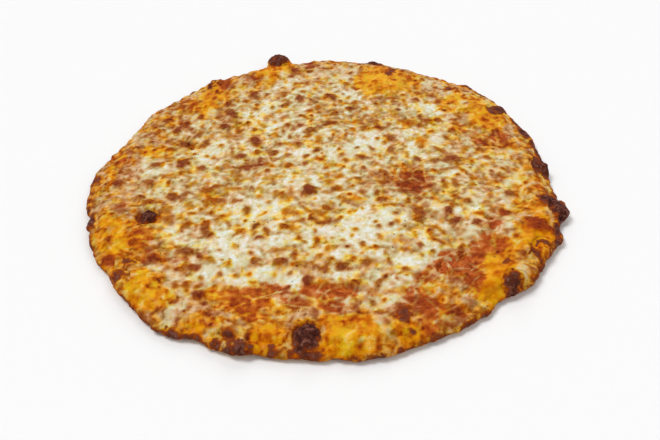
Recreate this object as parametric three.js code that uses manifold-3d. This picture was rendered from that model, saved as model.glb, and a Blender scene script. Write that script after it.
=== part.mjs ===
// A whole thin pizza with rose sauce: a dough crust, a spread of sauce and melted cheese.
// Millimetres, +Z up. The pizza lies flat on its underside, with the origin at the middle of its
// box on the surface below it. +Y points away from the side that is nearest the viewer.

import * as THREE from "three";
import { mergeVertices } from "three/addons/utils/BufferGeometryUtils.js";
import Module from "manifold-3d";

const wasm = await Module();
wasm.setup();

// Driving dimensions
const meanReach = 156; // from the middle of the dough to its outline
const doughThickness = 3.4; // in the middle, under the sauce
const rimRise = 3.2; // the rim's crest above the middle
const rimWidth = 34; // from the outline in to where the rim levels out
const crestInset = 14; // from the outline in to the rim's crest
const rimDrop = 0.4; // share of the rim's rise that is lost again at the outline
const sauceThickness = 1;
const sauceEdgeThickness = 0.4;
const cheeseThickness = 2.3; // in the middle
const cheeseRimThickness = 1.1; // where it thins over the rim
const cheeseLumps = 0.45; // height of the melted lumps in the middle, up and down
const rimLumps = 0.25; // and over the rim
const doughSwell = 0.35; // height of the dough's own unevenness, up and down
const edgeRipple = 0.8; // in and out, between the larger lobes of the outline
const layerGap = 0.3; // between one layer and the next
const blisterClearance = 0.4; // between a blister and the toppings round it
const segments = 80; // round the pizza

// The half section, in shares of the reach from the middle to the outline
const doughRings = [0.5, 0.6, 0.68, 0.76, 0.84, 0.9, 0.94, 0.97];
const sauceRings = doughRings.filter((share) => share <= 0.94);
const undersideRings = [0.5, 0.955];
const lip = [[0.985, 0.1], [1, 0.42], [0.992, 0.78]]; // share, and level from underside to top
const sauceThinsFrom = 0.76;
const cheeseReach = 0.955;
const cheeseReachWobble = 0.009;
const cheeseThinsFrom = 0.7;
const cheeseThinsTo = 0.92;
const cheeseEdgeLevel = 0.55; // of the cheese's rounded edge, from its underside to its top
const cheeseTopRings = 14;

// Lobes and dents of the outline: where in degrees, half width in degrees, and how far out
const lobes = [
  { at: 26, width: 10, out: 2 },
  { at: 38, width: 11, out: 3.5 },
  { at: 84, width: 16, out: 1.5 },
  { at: 134, width: 24, out: -2 },
  { at: 160, width: 14, out: -5 },
  { at: 178, width: 13, out: 1.5 },
  { at: 206, width: 12, out: 2.5 },
  { at: 224, width: 9, out: 2.5 },
  { at: 235, width: 9, out: 6 },
  { at: 250, width: 8, out: 2 },
  { at: 283, width: 12, out: 3 },
  { at: 300, width: 11, out: 2 },
  { at: 317, width: 13, out: 4 },
  { at: 330, width: 10, out: 4 },
  { at: 340, width: 8, out: 3.5 },
  { at: 359, width: 13, out: -3 },
];

// Places where the dough puffed up: middle, half sizes, turn in degrees and height
const puffs = [
  { x: 58, y: 106, long: 32, short: 25, turn: -20, height: 3.8 },
  { x: -39, y: 131, long: 20, short: 18, turn: 0, height: 2.8 },
  { x: -82, y: 95, long: 28, short: 19, turn: 60, height: 2.2 },
  { x: 115, y: 64, long: 24, short: 21, turn: 30, height: 3 },
  { x: 123, y: 34, long: 16, short: 14, turn: 0, height: 1.2 },
  { x: 121, y: -71, long: 26, short: 20, turn: 60, height: 3 },
  { x: 95, y: -104, long: 22, short: 18, turn: 40, height: 2.4 },
  { x: 22, y: -141, long: 26, short: 14, turn: 8, height: 2.2 },
  { x: -57, y: -129, long: 24, short: 17, turn: -25, height: 1.6 },
  { x: -105, y: -101, long: 23, short: 20, turn: -45, height: 2.8 },
  { x: -117, y: -59, long: 24, short: 20, turn: 70, height: 2.6 },
];

// Charred blisters of dough: middle, half width round the rim, half depth across it, half height,
// and how far the blister's middle stands above the dough
const blisters = [
  { x: -33, y: 153, width: 10.5, depth: 9, height: 8, stand: 3.3 },
  { x: -83, y: 122, width: 7, depth: 6, height: 4.5, stand: 1 },
  { x: 46, y: 145, width: 8, depth: 5, height: 4, stand: 1 },
  { x: 131, y: 64, width: 6, depth: 6, height: 3.5, stand: 1.5 },
  { x: 146, y: -5, width: 8, depth: 5, height: 4.5, stand: 1 },
  { x: 150, y: -48, width: 9, depth: 6.5, height: 5.5, stand: 1 },
  { x: 129, y: -83, width: 7, depth: 5, height: 4, stand: 0.5 },
  { x: 106, y: -107, width: 7.5, depth: 6, height: 5, stand: 1 },
  { x: -10, y: -143, width: 7, depth: 9.5, height: 5, stand: 1.5 },
  { x: -47, y: -146, width: 9, depth: 4.5, height: 3.5, stand: 0.5 },
  { x: -119, y: -92, width: 8, depth: 4.5, height: 4, stand: 0.5 },
  { x: -147, y: -43, width: 6, depth: 4.5, height: 4, stand: 0.5 },
  { x: -111, y: -39, width: 6.5, depth: 6.5, height: 5, stand: 2.5 },
];

// Openings in the cheese where the sauce shows: middle, half sizes and turn in degrees
const openings = [
  { x: 60, y: -13, long: 16, short: 10, turn: 20 },
  { x: 77, y: -93, long: 17, short: 10, turn: 40 },
  { x: 55, y: -119, long: 10, short: 7, turn: 20 },
  { x: 10, y: -110, long: 18, short: 6, turn: 0 },
  { x: -35, y: -114, long: 16, short: 7, turn: -8 },
  { x: -92, y: -74, long: 11, short: 5, turn: -20 },
  { x: -92, y: 37, long: 10, short: 6, turn: -30 },
];
const openingPoints = 16;
const openingWobble = 0.2;
const openingSeed = 101; // of the first opening's outline
const plugHeight = 30; // well above the cheese

// Browned blisters in the cheese: middle, half width and height above the cheese
const brownedBlisters = [
  { x: -9, y: -20, width: 5.5, height: 1.6 },
  { x: 4, y: -12, width: 4, height: 1.1 },
  { x: 41, y: -128, width: 4.5, height: 1 },
  { x: 9, y: 93, width: 4.5, height: 1.2 },
  { x: 9, y: 57, width: 4.5, height: 1.2 },
  { x: 47, y: 21, width: 4.5, height: 1.2 },
  { x: 74, y: 83, width: 4, height: 1 },
  { x: 80, y: -44, width: 4.5, height: 1.2 },
  { x: 96, y: -58, width: 4, height: 1 },
  { x: 120, y: -33, width: 4, height: 1 },
  { x: 11, y: -93, width: 4, height: 1.1 },
  { x: -10, y: -102, width: 4, height: 1.2 },
  { x: -25, y: -87, width: 4.5, height: 1.1 },
  { x: -72, y: -110, width: 4.5, height: 1 },
  { x: -115, y: -6, width: 4.5, height: 1.1 },
  { x: -92, y: 17, width: 4, height: 1.1 },
  { x: -46, y: 38, width: 4.5, height: 1.2 },
  { x: -50, y: 102, width: 4.5, height: 1 },
  { x: -15, y: 92, width: 4.5, height: 1.1 },
  { x: -19, y: 135, width: 4.5, height: 1 },
];

// Round shapes are coarse: the blisters are small beside the pizza
const blisterSides = 8;
const blisterRows = 6;
const smallestEdge = 1e-4; // vertices nearer than this are one

// A seeded draw from 0 to 1, the same on every run
function seededDraw(seed) {
  let state = seed;
  return () => {
    state = (state * 16807) % 2147483647;
    return state / 2147483647;
  };
}

// Gentle unevenness of about -1 to 1: a sum of waves in drawn directions
function unevenness(seed, wavelength, waveCount = 6) {
  const draw = seededDraw(seed);
  const waves = [];
  for (let i = 0; i < waveCount; i++) {
    const heading = 2 * Math.PI * draw();
    const pitch = (2 * Math.PI) / (wavelength * (0.7 + 0.6 * draw()));
    const phase = 2 * Math.PI * draw();
    waves.push((x, y) => Math.sin(pitch * (x * Math.cos(heading) + y * Math.sin(heading)) + phase));
  }
  const scale = 1.6 / waveCount;
  return (x, y) => scale * waves.reduce((sum, wave) => sum + wave(x, y), 0);
}

const doughUnevenness = unevenness(7, 55);
const cheeseUnevenness = unevenness(23, 26);
const rippleUnevenness = unevenness(41, 30);
const cheeseEdgeUnevenness = unevenness(59, 45);

// A round bump: 1 in the middle, falling smoothly to 0 at distance 1
function bump(distance) {
  return distance < 1 ? (1 - distance * distance) ** 2 : 0;
}

// Distance from the middle of a turned oval, where its outline is at 1
function ovalDistance(oval, x, y) {
  const turn = THREE.MathUtils.degToRad(oval.turn);
  const along = (x - oval.x) * Math.cos(turn) + (y - oval.y) * Math.sin(turn);
  const across = (y - oval.y) * Math.cos(turn) - (x - oval.x) * Math.sin(turn);
  return Math.hypot(along / oval.long, across / oval.short);
}

// How far the outline is from the middle, at an angle in radians
function reachAt(angle) {
  let reach = meanReach;
  for (const lobe of lobes) {
    const turn = THREE.MathUtils.euclideanModulo(THREE.MathUtils.radToDeg(angle) - lobe.at, 360);
    reach += lobe.out * bump(Math.min(turn, 360 - turn) / lobe.width);
  }
  const ripple = rippleUnevenness(meanReach * Math.cos(angle), meanReach * Math.sin(angle));
  return reach + edgeRipple * ripple;
}

function pointAt(angle, share) {
  const distance = share * reachAt(angle);
  return { x: distance * Math.cos(angle), y: distance * Math.sin(angle), inset: reachAt(angle) - distance };
}

// The rim's cross section: 0 inside the rim, 1 on its crest, lower again at the outline
function rimShape(inset) {
  if (inset < crestInset) {
    return 1 - rimDrop * ((crestInset - inset) / crestInset) ** 2;
  }
  return THREE.MathUtils.smoothstep(rimWidth - inset, 0, rimWidth - crestInset);
}

// Top of the dough, as a smooth surface
function doughTop(angle, share) {
  const { x, y, inset } = pointAt(angle, share);
  let height = doughThickness + rimRise * rimShape(inset) + doughSwell * doughUnevenness(x, y);
  for (const puff of puffs) {
    height += puff.height * bump(ovalDistance(puff, x, y));
  }
  return height;
}

// Top of the dough as spun: straight between its rings, so that the layers on it lie parallel
function doughFace(angle, share) {
  const rings = [0, ...doughRings];
  const outer = Math.max(1, rings.findIndex((ring) => ring >= share));
  const [from, to] = [rings[outer - 1], rings[outer]];
  const part = (share - from) / (to - from);
  return THREE.MathUtils.lerp(doughTop(angle, from), doughTop(angle, to), part);
}

function sauceDepth(share) {
  const thin = THREE.MathUtils.smoothstep(share, sauceThinsFrom, sauceRings.at(-1));
  return THREE.MathUtils.lerp(sauceThickness, sauceEdgeThickness, thin);
}

function cheeseUnderside(angle, share) {
  const sauce = share <= sauceRings.at(-1) ? sauceDepth(share) + layerGap : 0;
  return doughFace(angle, share) + layerGap + sauce;
}

function cheeseTop(angle, share) {
  const { x, y } = pointAt(angle, share);
  const overRim = THREE.MathUtils.smoothstep(share, cheeseThinsFrom, cheeseThinsTo);
  const thickness = THREE.MathUtils.lerp(cheeseThickness, cheeseRimThickness, overRim);
  const sauce = sauceDepth(share) + layerGap;
  const lumps = THREE.MathUtils.lerp(cheeseLumps, rimLumps, overRim) * cheeseUnevenness(x, y);
  return doughTop(angle, share) + layerGap + sauce + thickness + lumps;
}

function cheeseReachAt(angle) {
  const wobble = cheeseEdgeUnevenness(meanReach * Math.cos(angle), meanReach * Math.sin(angle));
  return cheeseReach + cheeseReachWobble * THREE.MathUtils.clamp(wobble, -1, 1);
}

// A closed layer spun from its half section, a list of [share, level] that starts and ends on the
// axis. placeAt(angle, share, level) gives each point's own share and height.
function spunLayer(section, placeAt) {
  const profile = section.map(([share, level]) => new THREE.Vector2(share, level));
  const geometry = new THREE.LatheGeometry(profile, segments);
  const position = geometry.attributes.position;
  for (let i = 0; i < position.count; i++) {
    const [share, level] = section[i % section.length];
    const turn = Math.floor(i / section.length) % segments;
    const angle = (2 * Math.PI * turn) / segments;
    const place = placeAt(angle, share, level);
    const { x, y } = pointAt(angle, place.share);
    position.setXYZ(i, x, y, place.height);
  }
  return solidFrom(geometry);
}

// A solid that can be joined and cut, from a closed geometry
function solidFrom(geometry) {
  geometry.deleteAttribute("normal");
  geometry.deleteAttribute("uv");
  const merged = mergeVertices(geometry, smallestEdge);
  const vertProperties = new Float32Array(merged.attributes.position.array);
  const corners = merged.index.array;
  const kept = [];
  for (let i = 0; i < corners.length; i += 3) {
    const [a, b, c] = corners.subarray(i, i + 3);
    if (a !== b && b !== c && c !== a) {
      kept.push(a, b, c);
    }
  }
  if (volumeInside(vertProperties, kept) < 0) {
    kept.reverse();
  }
  return new wasm.Manifold(new wasm.Mesh({ numProp: 3, vertProperties, triVerts: new Uint32Array(kept) }));
}

// Negative where the faces point inwards
function volumeInside(points, corners) {
  const [a, b, c] = [new THREE.Vector3(), new THREE.Vector3(), new THREE.Vector3()];
  let volume = 0;
  for (let i = 0; i < corners.length; i += 3) {
    a.fromArray(points, 3 * corners[i]);
    b.fromArray(points, 3 * corners[i + 1]);
    c.fromArray(points, 3 * corners[i + 2]);
    volume += a.dot(b.cross(c)) / 6;
  }
  return volume;
}

function geometryFrom(solid) {
  const { vertProperties, triVerts } = solid.getMesh();
  const geometry = new THREE.BufferGeometry();
  geometry.setAttribute("position", new THREE.BufferAttribute(vertProperties, 3));
  geometry.setIndex(new THREE.BufferAttribute(triVerts, 1));
  geometry.computeVertexNormals();
  return geometry;
}

// Height of a smooth surface(angle, share) over a point
function heightOver(surface, x, y) {
  const angle = Math.atan2(y, x);
  return surface(angle, Math.min(1, Math.hypot(x, y) / reachAt(angle)));
}

// A rounded lump: width round the pizza, depth towards its middle
function lump({ x, y, width, depth, height }, middleHeight) {
  const geometry = new THREE.SphereGeometry(1, blisterSides, blisterRows);
  geometry.rotateX(Math.PI / 2);
  geometry.scale(depth, width, height);
  geometry.rotateZ(Math.atan2(y, x));
  geometry.translate(x, y, middleHeight);
  return solidFrom(geometry);
}

// A charred blister, larger all round by grown
function charredBlister(blister, grown = 0) {
  const grownSizes = {
    ...blister,
    width: blister.width + grown,
    depth: blister.depth + grown,
    height: blister.height + grown,
  };
  return lump(grownSizes, heightOver(doughFace, blister.x, blister.y) + blister.stand);
}

// An upright plug with the uneven outline of one opening in the cheese
function openingPlug(opening, seed) {
  const wobble = unevenness(seed, 1.6);
  const outline = [];
  for (let i = 0; i < openingPoints; i++) {
    const angle = (2 * Math.PI * i) / openingPoints;
    const ray = new THREE.Vector2(Math.cos(angle), Math.sin(angle));
    ray.multiplyScalar(1 + openingWobble * wobble(ray.x, ray.y));
    outline.push(new THREE.Vector2(opening.long * ray.x, opening.short * ray.y));
  }
  const shape = new THREE.Shape(outline);
  const geometry = new THREE.ExtrudeGeometry(shape, { depth: plugHeight, bevelEnabled: false });
  geometry.rotateZ(THREE.MathUtils.degToRad(opening.turn));
  geometry.translate(opening.x, opening.y, 0);
  return solidFrom(geometry);
}

// The dough, flat below and puffed at the rim, with the charred blisters grown into it
function makeCrust() {
  const section = [
    [0, 0],
    ...undersideRings.map((share) => [share, 0]),
    ...lip,
    ...doughRings.toReversed().map((share) => [share, 1]),
    [0, 1],
  ];
  const rimFace = (angle, share) => doughFace(angle, Math.min(share, doughRings.at(-1)));
  let crust = spunLayer(section, (angle, share, level) => {
    return { share, height: level * rimFace(angle, share) };
  });
  const floor = new THREE.BoxGeometry(4 * meanReach, 4 * meanReach, meanReach);
  floor.translate(0, 0, -meanReach / 2);
  const belowFloor = solidFrom(floor);
  for (const blister of blisters) {
    crust = crust.add(charredBlister(blister).subtract(belowFloor));
  }
  return crust;
}

function makeSauce() {
  const section = [
    [0, 1],
    ...sauceRings.map((share) => [share, 1]),
    ...sauceRings.toReversed().map((share) => [share, 0]),
    [0, 0],
  ];
  let sauce = spunLayer(section, (angle, share, level) => {
    return { share, height: doughFace(angle, share) + layerGap + level * sauceDepth(share) };
  });
  for (const blister of blisters) {
    sauce = sauce.subtract(charredBlister(blister, blisterClearance));
  }
  return sauce;
}

// The melted cheese, open over the sauce in places and drawn back round the charred blisters
function makeCheese() {
  const topRings = [];
  for (let i = 1; i <= cheeseTopRings; i++) {
    topRings.push((i / cheeseTopRings) * sauceRings.at(-1));
  }
  const section = [
    [0, 0],
    ...sauceRings.map((share) => [share, 0]),
    [cheeseReach, 0],
    [cheeseReach, cheeseEdgeLevel],
    ...topRings.toReversed().map((share) => [share, 1]),
    [0, 1],
  ];
  let cheese = spunLayer(section, (angle, share, level) => {
    const ownShare = share === cheeseReach ? cheeseReachAt(angle) : share;
    const underside = cheeseUnderside(angle, ownShare);
    return { share: ownShare, height: THREE.MathUtils.lerp(underside, cheeseTop(angle, ownShare), level) };
  });
  for (const { x, y, width, height } of brownedBlisters) {
    const dome = lump({ x, y, width, depth: width, height }, heightOver(cheeseTop, x, y));
    cheese = cheese.add(dome);
  }
  for (const [index, opening] of openings.entries()) {
    cheese = cheese.subtract(openingPlug(opening, openingSeed + index));
  }
  for (const blister of blisters) {
    cheese = cheese.subtract(charredBlister(blister, blisterClearance));
  }
  return cheese;
}

const crustMaterial = new THREE.MeshStandardMaterial({ color: 0xb06a2c, roughness: 0.75, metalness: 0 });
const sauceMaterial = new THREE.MeshStandardMaterial({ color: 0xb4481f, roughness: 0.4, metalness: 0 });
const cheeseMaterial = new THREE.MeshStandardMaterial({ color: 0xe8c67c, roughness: 0.45, metalness: 0 });

function namedMesh(name, solid, material) {
  const mesh = new THREE.Mesh(geometryFrom(solid), material);
  mesh.name = name;
  return mesh;
}

const pizza = new THREE.Group();
pizza.add(
  namedMesh("crust", makeCrust(), crustMaterial),
  namedMesh("rose_sauce", makeSauce(), sauceMaterial),
  namedMesh("cheese", makeCheese(), cheeseMaterial),
);

// The outline isn't even, so the middle of its box is brought to the origin
const middle = new THREE.Box3().setFromObject(pizza).getCenter(new THREE.Vector3());
pizza.position.set(-middle.x, -middle.y, 0);

export default pizza;
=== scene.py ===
import math

import bmesh
import bpy
import numpy as np
from mathutils import Matrix, Vector, noise
from mathutils.bvhtree import BVHTree


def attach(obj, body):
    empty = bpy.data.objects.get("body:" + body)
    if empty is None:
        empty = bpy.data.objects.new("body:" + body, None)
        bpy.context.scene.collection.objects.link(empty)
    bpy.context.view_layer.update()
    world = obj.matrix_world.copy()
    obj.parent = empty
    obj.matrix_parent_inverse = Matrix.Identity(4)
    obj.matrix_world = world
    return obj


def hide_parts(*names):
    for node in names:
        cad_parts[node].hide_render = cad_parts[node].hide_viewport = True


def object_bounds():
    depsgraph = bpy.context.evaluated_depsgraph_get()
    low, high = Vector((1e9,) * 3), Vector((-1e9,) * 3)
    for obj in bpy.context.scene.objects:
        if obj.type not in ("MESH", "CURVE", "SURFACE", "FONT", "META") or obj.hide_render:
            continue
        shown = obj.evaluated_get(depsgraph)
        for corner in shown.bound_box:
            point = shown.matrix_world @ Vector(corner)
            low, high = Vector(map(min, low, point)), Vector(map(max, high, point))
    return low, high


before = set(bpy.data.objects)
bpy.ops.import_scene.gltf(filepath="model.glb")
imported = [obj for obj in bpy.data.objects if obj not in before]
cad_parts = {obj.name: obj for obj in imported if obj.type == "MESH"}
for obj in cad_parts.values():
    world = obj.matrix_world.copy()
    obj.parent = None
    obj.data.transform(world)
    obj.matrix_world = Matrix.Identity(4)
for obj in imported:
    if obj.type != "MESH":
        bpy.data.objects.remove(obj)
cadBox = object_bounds()
mm = 0.001  # places and sizes below are in millimetres, meshes in metres

# Stage: camera, floor and light

view = {
    "lookAt": (5.5, -44.5, 0),  # on the floor
    "elevation": 41.47,
    "roll": -2.49,
    "distance": 453.9,
    "fieldOfView": 50,  # across the picture
    "nearest": 10,  # what lies nearer isn't drawn
}


def addObject(name, data):
    made = bpy.data.objects.new(name, data)
    bpy.context.scene.collection.objects.link(made)
    return made


def objectFrom(bm, name):
    mesh = bpy.data.meshes.new(name)
    bm.to_mesh(mesh)
    bm.free()
    return addObject(name, mesh)


def bmeshFrom(mesh):
    bm = bmesh.new()
    bm.from_mesh(mesh)
    return bm


def makeCamera():
    lift = math.radians(view["elevation"])
    roll = math.radians(view["roll"])
    ahead = Vector((0, math.cos(lift), -math.sin(lift)))
    right = Vector((1, 0, 0))
    up = right.cross(ahead)
    turnedRight = math.cos(roll) * right + math.sin(roll) * up
    turnedUp = math.cos(roll) * up - math.sin(roll) * right
    eye = (Vector(view["lookAt"]) - ahead * view["distance"]) * mm
    data = bpy.data.cameras.new("camera")
    data.sensor_fit = "HORIZONTAL"
    data.angle = math.radians(view["fieldOfView"])
    data.clip_start = view["nearest"] * mm
    camera = addObject("camera", data)
    camera.matrix_world = Matrix((*zip(turnedRight, turnedUp, -ahead, eye), (0, 0, 0, 1)))
    bpy.context.scene.camera = camera


studio = {
    "floorSize": 60,  # metres
    "floorDrop": 0.2,  # below the underside
    "floorTone": (0.96, 0.96, 0.96),
    "floorRoughness": 0.8,
    "floorGloss": 0.1,
    "worldTone": (1.0, 1.0, 1.0),
    "worldStrength": 0.33,
    "suns": [  # "from" points to the light, "wide" is its width in degrees
        {"name": "key", "from": (-0.55, 0.25, 1.1), "wide": 27, "strength": 1.66},
        {"name": "fill", "from": (0.8, -0.5, 0.9), "wide": 50, "strength": 0.45},
        {"name": "back", "from": (0.2, 1.0, 0.8), "wide": 38, "strength": 0.6},
    ],
}


def makeStudio():
    scene = bpy.context.scene
    scene.view_settings.view_transform = "Standard"
    world = bpy.data.worlds.new("studioWorld")
    world.use_nodes = True
    background = world.node_tree.nodes["Background"]
    background.inputs["Color"].default_value = (*studio["worldTone"], 1)
    background.inputs["Strength"].default_value = studio["worldStrength"]
    scene.world = world
    for sun in studio["suns"]:
        data = bpy.data.lights.new(sun["name"], "SUN")
        data.angle = math.radians(sun["wide"])
        data.energy = sun["strength"]
        light = addObject(sun["name"], data)
        light.rotation_euler = (-Vector(sun["from"])).to_track_quat("-Z", "Y").to_euler()
    bm = bmesh.new()
    bmesh.ops.create_grid(bm, x_segments=2, y_segments=2, size=studio["floorSize"] / 2)
    bmesh.ops.translate(bm, verts=bm.verts, vec=(0, 0, -studio["floorDrop"] * mm))
    floor = objectFrom(bm, "floor")
    material, _, shader = newMaterial("paleFloor")
    shader.inputs["Base Color"].default_value = (*studio["floorTone"], 1)
    shader.inputs["Roughness"].default_value = studio["floorRoughness"]
    shader.inputs["Specular IOR Level"].default_value = studio["floorGloss"]
    floor.data.materials.append(material)
    print("stage made:", len(studio["suns"]), "lights")


# Fields: maps of height and browning over the pizza, on an even grid of points

fieldHalf = 164  # half the side of every field
fieldStep = 0.5
axis = np.arange(-fieldHalf, fieldHalf + fieldStep / 2, fieldStep)
gridX, gridY = np.meshgrid(axis, axis)


def smooth(low, high, value):
    part = np.clip((value - low) / (high - low), 0, 1)
    return part * part * (3 - 2 * part)


def lerp(a, b, part):
    return a + (b - a) * part


# The cells of an even grid that some places lie in, and how far across its cell each is
def cellsAt(x, y, cell, count):
    last = count - 1.001  # just inside the last cell
    u = np.clip((np.asarray(x) + fieldHalf) / cell, 0, last)
    v = np.clip((np.asarray(y) + fieldHalf) / cell, 0, last)
    i = u.astype(int)
    j = v.astype(int)
    return i, j, u - i, v - j


# A value between the four corners of a cell
def between(corner, u, v):
    near = lerp(corner(0, 0), corner(1, 0), u)
    far = lerp(corner(0, 1), corner(1, 1), u)
    return lerp(near, far, v)


# The value of an even field at some places
def sample(field, x, y):
    count = len(field)
    i, j, u, v = cellsAt(x, y, 2 * fieldHalf / (count - 1), count)
    return between(lambda a, b: field[j + b, i + a], u, v)


# Smooth noise of about -1 to 1, with lumps about one cell wide
def lumpyField(cell, seed):
    rng = np.random.default_rng(seed)
    count = int(2 * fieldHalf / cell) + 3
    heading = rng.random((count, count)) * 2 * math.pi
    leanX = np.cos(heading)
    leanY = np.sin(heading)
    i, j, u, v = cellsAt(gridX, gridY, cell, count)

    def corner(a, b):
        return leanX[j + b, i + a] * (u - a) + leanY[j + b, i + a] * (v - b)

    fadeU, fadeV = (w ** 3 * (w * (6 * w - 15) + 10) for w in (u, v))
    return 1.5 * between(corner, fadeU, fadeV)


# Lumps with smaller lumps on them
def roughField(cell, seed, octaves=3):
    total = 0
    for octave in range(octaves):
        total = total + lumpyField(cell / 2 ** octave, seed + octave) / 2 ** octave
    return total


# A window of the field round a point, with each grid point's distance from it along x and y
def window(x, y, reach):
    first = [max(0, int((c - reach + fieldHalf) / fieldStep)) for c in (x, y)]
    last = [min(len(axis), int((c + reach + fieldHalf) / fieldStep) + 2) for c in (x, y)]
    part = (slice(first[1], last[1]), slice(first[0], last[0]))
    return part, gridX[part] - x, gridY[part] - y


def raiseTo(field, part, values):
    field[part] = np.maximum(field[part], values)


def turned(dx, dy, degrees):
    turn = math.radians(degrees)
    return dx * math.cos(turn) + dy * math.sin(turn), dy * math.cos(turn) - dx * math.sin(turn)


# How far the edges of all placed things wander
warpX = 5 * lumpyField(22, seed=11) + 2.5 * lumpyField(7, seed=12)
warpY = 5 * lumpyField(22, seed=13) + 2.5 * lumpyField(7, seed=14)
ragged = roughField(3.2, seed=31, octaves=2)  # small unevenness of some edges


# The frame's own surfaces, read from above

rayStart = 50  # above every piece


def blurred(field, cells):
    spread = int(3 * cells)
    weights = np.exp(-0.5 * (np.arange(-spread, spread + 1) / cells) ** 2)
    for _ in range(2):
        field = np.apply_along_axis(np.convolve, 1, field, weights, mode="same").T
    return field


# Heights a little under the lowest dough near each place, where the edge of a layer is hidden
def hiddenIn(doughTop, cells=3, depth=0.6):
    for side in (0, 1):
        for shift in range(-cells, cells + 1):
            doughTop = np.minimum(doughTop, np.roll(doughTop, shift, side))
    return doughTop - depth


# Height of a piece's top, with its facets smoothed and its openings closed over
def topField(piece, soften=2.0, step=2.0):
    bm = bmeshFrom(piece.data)
    tree = BVHTree.FromBMesh(bm)
    bm.free()
    places = np.arange(-fieldHalf, fieldHalf + step / 2, step)
    found = np.full((len(places), len(places)), np.nan)
    for j, y in enumerate(places):
        for i, x in enumerate(places):
            hit = tree.ray_cast(Vector((x * mm, y * mm, rayStart * mm)), Vector((0, 0, -1)))[0]
            if hit:
                found[j, i] = hit.z / mm
    known = ~np.isnan(found)
    weight = blurred(known.astype(float), soften)
    height = blurred(np.where(known, found, 0), soften)
    return sample(height / np.maximum(weight, 1e-6), gridX, gridY)


def rowsOf(items, name):
    flat = np.empty(3 * len(items))
    items.foreach_get(name, flat)
    return flat.reshape(-1, 3)


def pointsOf(piece):
    return rowsOf(piece.data.vertices, "co") / mm


def normalsOf(piece):
    return rowsOf(piece.data.vertex_normals, "vector")


flatShare = 0.955  # the flat underside's reach, of the outline's
outlineSteps = 720


# The outline of the dough, from the edge of its flat underside
def readOutline():
    points = pointsOf(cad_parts["crust"])
    flat = points[points[:, 2] < 0.05]  # on the underside
    middle = flat[np.argmin(np.hypot(flat[:, 0], flat[:, 1]))]
    away = flat - middle
    reach = np.hypot(away[:, 0], away[:, 1])
    ring = reach > 0.8 * reach.max()
    angle = np.arctan2(away[ring, 1], away[ring, 0])
    order = np.argsort(angle)
    turns = np.linspace(-math.pi, math.pi, outlineSteps, endpoint=False)
    even = np.interp(turns, angle[order], reach[ring][order], period=2 * math.pi)
    side = 9  # steps on each side that soften the outline
    spread = 4
    bell = np.exp(-0.5 * (np.arange(-side, side + 1) / spread) ** 2)
    wrapped = np.concatenate([even[-side:], even, even[:side]])
    soft = np.convolve(wrapped, bell / bell.sum(), mode="valid")
    return middle[:2], turns, soft / flatShare


doughMiddle, outlineTurns, outlineReach = readOutline()


def reachAt(angle):
    return np.interp(angle, outlineTurns, outlineReach, period=2 * math.pi)


# How far out a place lies, 1 at the outline
def shareOf(x, y):
    x = np.asarray(x) - doughMiddle[0]
    y = np.asarray(y) - doughMiddle[1]
    return np.hypot(x, y) / reachAt(np.arctan2(y, x))


# The place at an angle and a distance from the dough's middle
def around(angle, out):
    return doughMiddle[0] + out * math.cos(angle), doughMiddle[1] + out * math.sin(angle)


gridShare = shareOf(gridX, gridY)
crustTop, sauceTop, cheeseTop = (
    topField(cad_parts[name]) for name in ("crust", "rose_sauce", "cheese")
)
print("frame read: outline", outlineReach.min().round(1), "to", outlineReach.max().round(1), "mm")

# Places on the pizza

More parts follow.
